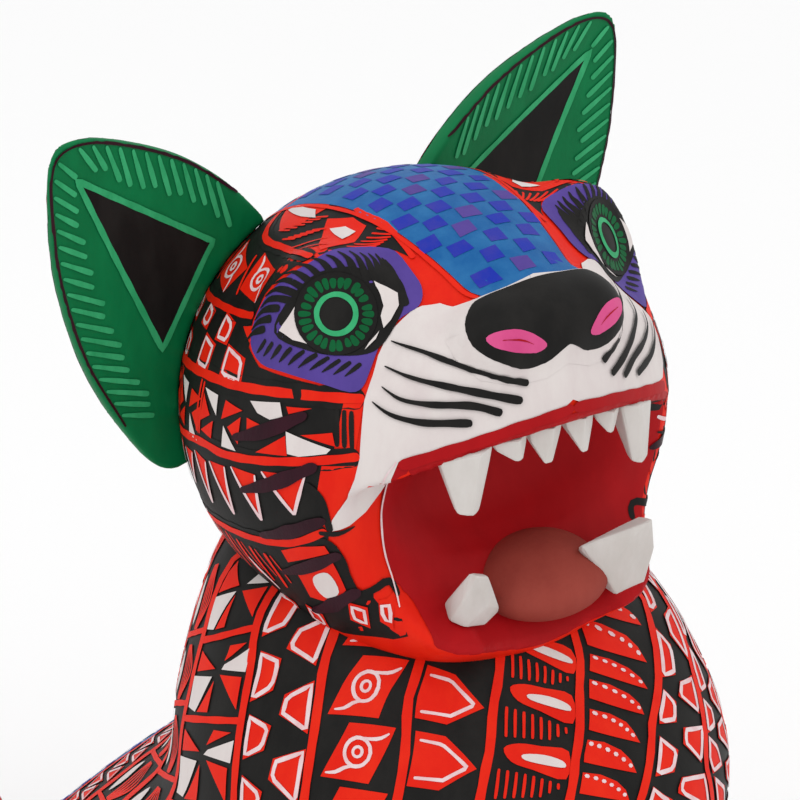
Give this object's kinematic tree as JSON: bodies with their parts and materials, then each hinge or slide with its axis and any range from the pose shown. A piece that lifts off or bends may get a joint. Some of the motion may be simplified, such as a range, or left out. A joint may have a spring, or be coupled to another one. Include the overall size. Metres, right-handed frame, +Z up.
{
  "type": "alebrije figure",
  "caption": "Seated big-cat figure in carved and painted wood, with a wide-open mouth, pull-out leaf ears and a pegged tail.",
  "frame": {"origin": "centre of the bounding box, on the surface that the figure stands on", "axes": "+Z up, the face looks along -Y, the figure's own left is +X"},
  "size_m": [0.14, 0.286, 0.2756],
  "materials": {
    "paint_black": "satin",
    "paint_red": "satin",
    "paint_white": "matte",
    "paint_crimson": "satin",
    "paint_blue": "satin",
    "paint_indigo": "satin",
    "paint_purple": "satin",
    "paint_green": "satin",
    "paint_green_light": "satin",
    "paint_pink": "satin",
    "paint_maroon": "satin",
    "paint_tongue": "matte",
    "raw_wood": "matte"
  },
  "bodies": {
    "figure": {"torso": "paint_black", "head": "paint_black", "foreleg_left": "paint_black", "foreleg_right": "paint_black", "hind_leg_left": "paint_black", "hind_leg_right": "paint_black", "neck_peg": "raw_wood", "foreleg_peg_left": "raw_wood", "foreleg_peg_right": "raw_wood", "hind_leg_peg_left": "raw_wood", "hind_leg_peg_right": "raw_wood", "upper_canine_left": "paint_white", "upper_canine_right": "paint_white", "lower_canine_left": "paint_white", "lower_canine_right": "paint_white", "upper_incisor_inner_left": "paint_white", "upper_incisor_outer_left": "paint_white", "upper_incisor_inner_right": "paint_white", "upper_incisor_outer_right": "paint_white", "tongue": "paint_tongue"},
    "left_ear": {"ear_left": "paint_green"},
    "right_ear": {"ear_right": "paint_green"},
    "tail_pin": {"tail_peg": "raw_wood"},
    "tail": {"tail": "paint_black"}
  },
  "joints": [
    {"name": "ear_left_pull", "type": "slide", "parent": "figure", "child": "left_ear", "axis": [0.766, 0, 0.6428], "range_m": [0, 0.022]},
    {"name": "ear_right_pull", "type": "slide", "parent": "figure", "child": "right_ear", "axis": [-0.766, 0, 0.6428], "range_m": [0, 0.022]},
    {"name": "tail_pull", "type": "slide", "parent": "figure", "child": "tail_pin", "axis": [0, 0.9781, 0.2079], "range_m": [0, 0.02]},
    {"name": "tail_swivel", "type": "hinge", "parent": "tail_pin", "child": "tail", "pos_m": [0, 0.072, 0.0205], "axis": [0, 0.9781, 0.2079], "range_deg": [-30, 30]}
  ]
}
